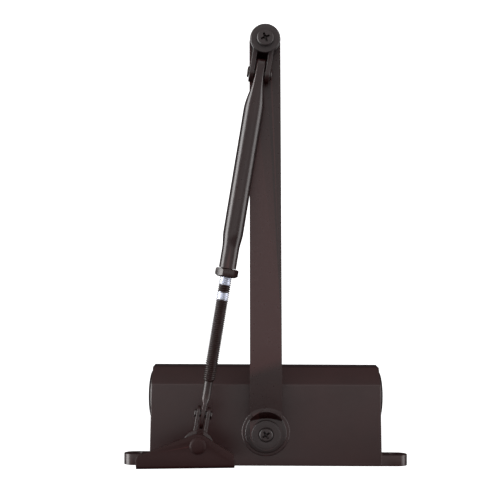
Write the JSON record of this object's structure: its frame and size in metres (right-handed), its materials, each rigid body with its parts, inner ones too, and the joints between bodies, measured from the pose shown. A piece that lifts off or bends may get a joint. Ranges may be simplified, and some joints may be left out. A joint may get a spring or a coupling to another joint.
{
  "type": "door closer",
  "caption": "Surface-mounted overhead door closer: chamfered rack-and-pinion body, flat main arm, adjustable tube forearm and pivoting shoe.",
  "frame": {"origin": "on the body's mounting face, in line with the pinion, at the body's mid-height", "axes": "+Y out of the mounting face towards the door, +Z along the pinion towards the arm, +X towards the end with the speed valves"},
  "size_m": [0.188, 0.2858, 0.1014],
  "materials": {
    "cast_paint": "die-cast, dark bronze satin paint",
    "paint": "dark bronze satin paint",
    "rod": "dark bronze coating over zinc",
    "steel": "machined",
    "bearing_steel": "polished",
    "spring_steel": "oil-tempered",
    "rubber": "matt",
    "zinc": "zinc plated",
    "plastic": "moulded, dark bronze",
    "bronze": "sintered"
  },
  "bodies": {
    "body": {"housing": "cast_paint", "end_plug_left": "paint", "end_plug_right": "paint", "plug_seal_left": "rubber", "plug_seal_right": "rubber", "upper_bearing_nut": "paint", "lower_bearing_nut": "paint", "upper_bearing": "steel", "lower_bearing": "steel", "upper_pinion_seal": "rubber", "lower_pinion_seal": "rubber", "pinion_cap": "plastic", "closing_spring": "spring_steel"},
    "pinion": {"pinion_shaft": "steel", "main_arm": "paint", "arm_washer": "paint", "arm_screw": "paint", "elbow_washer": "paint", "elbow_screw": "paint"},
    "piston": {"piston": "steel", "check_valve_ball": "bearing_steel", "check_valve_retainer": "steel"},
    "sweep_valve": {"sweep_valve_screw": "zinc", "sweep_valve_seal": "rubber"},
    "latch_valve": {"latch_valve_screw": "zinc", "latch_valve_seal": "rubber"},
    "knuckle": {"elbow_knuckle": "paint", "elbow_bush": "bronze", "knuckle_pin": "paint"},
    "forearm": {"forearm_tube": "paint"},
    "nut": {"lock_nut": "paint"},
    "rod": {"threaded_rod": "rod"},
    "clevis": {"shoe_clevis": "paint", "clevis_pin": "paint"},
    "shoe": {"shoe": "paint", "shoe_rivet": "paint"}
  },
  "joints": [
    {"name": "pinion_turn", "type": "hinge", "parent": "body", "child": "pinion", "pos_m": [0, -0.0224, 0.031], "axis": [0, 0, -1], "range_deg": [0, 170], "stiffness_Nm_per_rad": 4, "springref_deg": -171.89},
    {"name": "piston_slide", "type": "slide", "parent": "body", "child": "piston", "axis": [-1, 0, 0], "range_m": [0, 0.0268], "deforming": ["closing_spring"]},
    {"name": "elbow_swing", "type": "hinge", "parent": "pinion", "child": "knuckle", "pos_m": [0.00203, -0.27579, 0.055], "axis": [0, 0, -1], "range_deg": [-160, 160]},
    {"name": "forearm_tilt", "type": "hinge", "parent": "knuckle", "child": "forearm", "pos_m": [0.00541, -0.25476, 0.055], "axis": [0.9874, -0.1585, 0], "range_deg": [-3, 20]},
    {"name": "forearm_slide", "type": "slide", "parent": "forearm", "child": "rod", "axis": [0.1585, 0.9874, 0], "range_m": [-0.012, 0.018]},
    {"name": "lock_nut_turn", "type": "hinge", "parent": "forearm", "child": "nut", "pos_m": [0.02578, -0.12789, 0.055], "axis": [0.1585, 0.9874, 0], "continuous": true},
    {"name": "foot_tilt", "type": "hinge", "parent": "rod", "child": "clevis", "pos_m": [0.04019, -0.03814, 0.055], "axis": [0.9874, -0.1585, 0], "range_deg": [-20, 20]},
    {"name": "shoe_swing", "type": "hinge", "parent": "clevis", "child": "shoe", "pos_m": [0.04321, -0.01928, 0.066], "axis": [0, 0, -1], "range_deg": [-85, 85]},
    {"name": "sweep_valve_turn", "type": "hinge", "parent": "body", "child": "sweep_valve", "pos_m": [0.065, -0.016, 0.01], "axis": [1, 0, 0], "range_deg": [-360, 360]},
    {"name": "latch_valve_turn", "type": "hinge", "parent": "body", "child": "latch_valve", "pos_m": [0.065, -0.016, -0.01], "axis": [1, 0, 0], "range_deg": [-360, 360]}
  ],
  "couplings": [
    {"joint": "piston_slide", "follows": "pinion_turn", "m_per_rad": 0.009}
  ]
}
